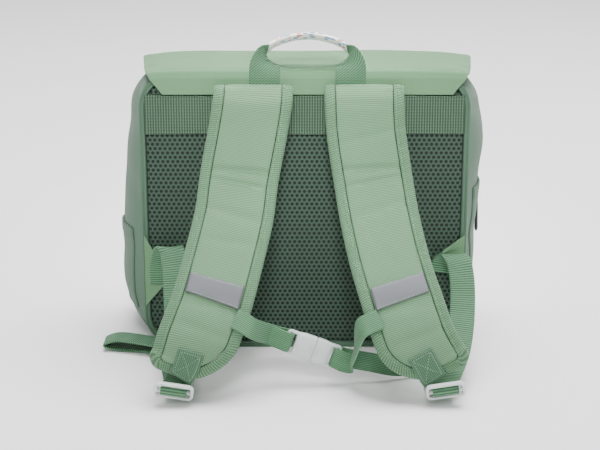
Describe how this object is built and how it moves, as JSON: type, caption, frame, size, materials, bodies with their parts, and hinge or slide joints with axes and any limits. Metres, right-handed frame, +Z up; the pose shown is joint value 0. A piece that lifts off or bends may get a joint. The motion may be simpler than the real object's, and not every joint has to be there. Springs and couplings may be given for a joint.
{
  "type": "school satchel backpack",
  "caption": "Flap-over school satchel worn on the back, with padded shoulder straps, chest buckle, mesh back panel and carrying handle; it holds books and stands on its base",
  "frame": {"origin": "on the floor under the middle of the bag, half way between the gusset's swollen sides and near half way through its depth", "axes": "+X to the right as seen from the harness side, -Y out of the back panel where the straps hang, +Z up"},
  "size_m": [0.3979, 0.2975, 0.3318],
  "materials": {
    "cloth": "woven polyester, light sage green, matt",
    "strap_cloth": "fine twill polyester over foam, sage green",
    "spacer_mesh": "knitted spacer mesh, dark green, holed",
    "binding": "herringbone binding tape, sage green",
    "webbing": "ribbed webbing, mid green",
    "printed_cloth": "off-white cloth with small coloured spots",
    "reflective_tape": "grey reflective tape, satin",
    "white_acetal": "moulded translucent white acetal",
    "dark_trim": "charcoal zip tape and moulded pull"
  },
  "bodies": {
    "root": {"body_shell": "cloth", "back_panel": "spacer_mesh", "back_piping": "binding", "flap": "cloth", "top_band": "webbing", "handle_webbing": "webbing", "handle_sleeve": "printed_cloth", "strap_left": "strap_cloth", "strap_right": "strap_cloth", "strap_binding_left": "binding", "strap_binding_right": "binding", "reflective_strip_left": "reflective_tape", "reflective_strip_right": "reflective_tape", "lower_tab_left": "webbing", "lower_tab_right": "webbing", "ladder_lock_left": "white_acetal", "ladder_lock_right": "white_acetal", "wing_left": "strap_cloth", "wing_right": "strap_cloth", "adjuster_webbing_left": "webbing", "adjuster_webbing_right": "webbing", "chest_strap_left": "webbing", "chest_strap_right": "webbing", "buckle_socket": "white_acetal", "buckle_plug": "white_acetal", "side_pocket_left": "cloth", "side_pocket_right": "cloth", "zip_tape": "dark_trim", "zip_slider": "dark_trim", "zip_pull": "dark_trim", "flap_clasp_left": "white_acetal", "flap_clasp_right": "white_acetal"}
  },
  "joints": []
}
